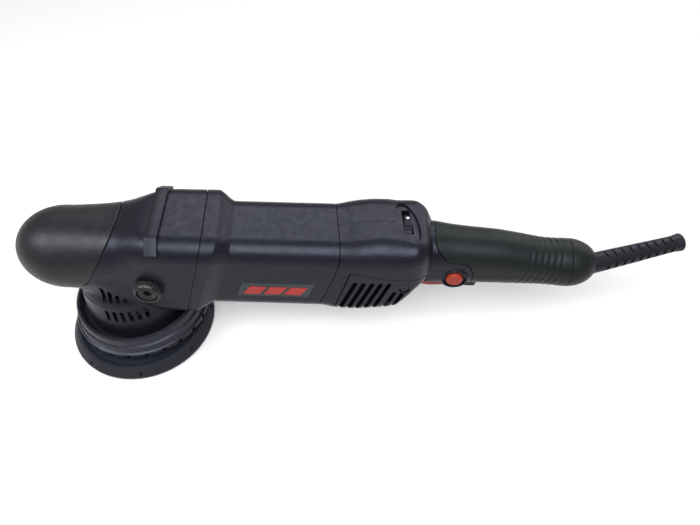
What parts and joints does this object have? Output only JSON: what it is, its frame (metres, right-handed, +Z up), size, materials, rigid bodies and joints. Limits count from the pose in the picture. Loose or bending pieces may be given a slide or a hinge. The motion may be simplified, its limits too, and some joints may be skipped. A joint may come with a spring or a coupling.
{
  "type": "dual action polisher",
  "caption": "Corded dual action polisher: long motor body, round head over an orbiting backing plate, rubber rear grip with paddle switch, lock button, speed dial and cable sleeve.",
  "frame": {"origin": "on the drive spindle's axis, at the face of the backing plate where a polishing pad goes on", "axes": "+X back along the body towards the grip and cable, +Z up from the pad face along the spindle, -Y towards the operator's left side"},
  "size_m": [0.5335, 0.1276, 0.1363],
  "materials": {
    "nose": "fine matte moulding",
    "housing": "fine spark texture",
    "shroud": "satin",
    "rib": "satin",
    "badge": "dark anodised",
    "mark": "satin red",
    "grip": "soft moulded rubber",
    "sleeve": "moulded rubber",
    "dial": "ridged",
    "inner_plastic": "moulded",
    "circuit_board": "solder resist",
    "button": "satin red",
    "trigger": "dark red",
    "steel": "ground",
    "black_steel": "black oxide",
    "casting": "die cast",
    "iron": "cast",
    "dish": "satin dark blue grey",
    "foam": "skinned foam",
    "hooks": "hook pile",
    "laminations": "lacquered sheet stack",
    "copper": "enamelled copper",
    "brass": "drawn",
    "carbon": "pressed carbon"
  },
  "bodies": {
    "housing": {"head_cap": "nose", "head_housing": "housing", "neck_ring": "housing", "shroud_ring": "shroud", "top_rib": "rib", "motor_housing": "housing", "badge_plate": "badge", "badge_mark": "mark", "rear_housing_left": "housing", "rear_housing_right": "housing", "vent_cover_left": "housing", "vent_cover_right": "housing", "vent_cover_screws": "black_steel", "rear_housing_screws": "black_steel", "handle_grip": "grip", "grip_end_cap": "grip", "cable_sleeve": "sleeve", "dial_bezel": "housing", "speed_potentiometer": "inner_plastic", "speed_control_board": "circuit_board", "lock_button_spring": "steel", "switch_module": "inner_plastic", "trigger_pin": "steel", "trigger_spring": "steel", "side_bolt_left": "black_steel", "side_bolt_right": "black_steel", "gearcase": "casting", "gearcase_cover": "casting", "gearcase_screws": "steel", "front_motor_bearing": "steel", "rear_motor_bearing": "steel", "upper_spindle_bearing": "steel", "lower_spindle_bearing": "steel", "stator_core": "laminations", "stator_windings": "copper", "bearing_plate": "inner_plastic", "brush_holder_left": "brass", "brush_holder_right": "brass", "brush_left": "carbon", "brush_right": "carbon", "brush_spring_left": "steel", "brush_spring_right": "steel"},
    "armature": {"armature_core": "laminations", "armature_shaft": "steel", "armature_windings": "copper", "commutator": "copper", "cooling_fan": "inner_plastic", "bevel_pinion": "steel"},
    "spindle_drive": {"spindle": "steel", "crown_gear": "steel", "counterweight": "iron", "pad_bearing": "steel"},
    "pad": {"pad_spindle": "steel", "pad_bolt": "steel", "backing_plate": "dish", "plate_foam": "foam", "hook_face": "hooks"},
    "trigger_body": {"trigger": "trigger"},
    "button_body": {"lock_button": "button"},
    "dial_body": {"speed_dial": "dial"}
  },
  "joints": [
    {"name": "spindle_spin", "type": "hinge", "parent": "housing", "child": "spindle_drive", "pos_m": [0, 0, 0.06], "axis": [0, 0, 1], "continuous": true},
    {"name": "armature_spin", "type": "hinge", "parent": "housing", "child": "armature", "pos_m": [0.1, 0, 0.0915], "axis": [1, 0, 0], "continuous": true},
    {"name": "pad_spin", "type": "hinge", "parent": "spindle_drive", "child": "pad", "pos_m": [-0.0015, -0.00735, 0.03], "axis": [0, 0, 1], "continuous": true},
    {"name": "trigger_pull", "type": "hinge", "parent": "housing", "child": "trigger_body", "pos_m": [0.2645, 0, 0.0736], "axis": [0, 1, 0], "range_deg": [0, 6], "stiffness_Nm_per_rad": 0.5, "springref_deg": -6.88, "deforming": ["trigger_spring"]},
    {"name": "lock_button_press", "type": "slide", "parent": "housing", "child": "button_body", "axis": [0, 1, 0], "range_m": [0, 0.003], "stiffness_N_per_m": 300, "springref_m": -0.002, "deforming": ["lock_button_spring"]},
    {"name": "speed_dial_turn", "type": "hinge", "parent": "housing", "child": "dial_body", "pos_m": [0.229, 0, 0.1179], "axis": [1, 0, 0], "range_deg": [-135, 135]}
  ],
  "couplings": [
    {"joint": "armature_spin", "follows": "spindle_spin", "ratio": 3.8}
  ]
}
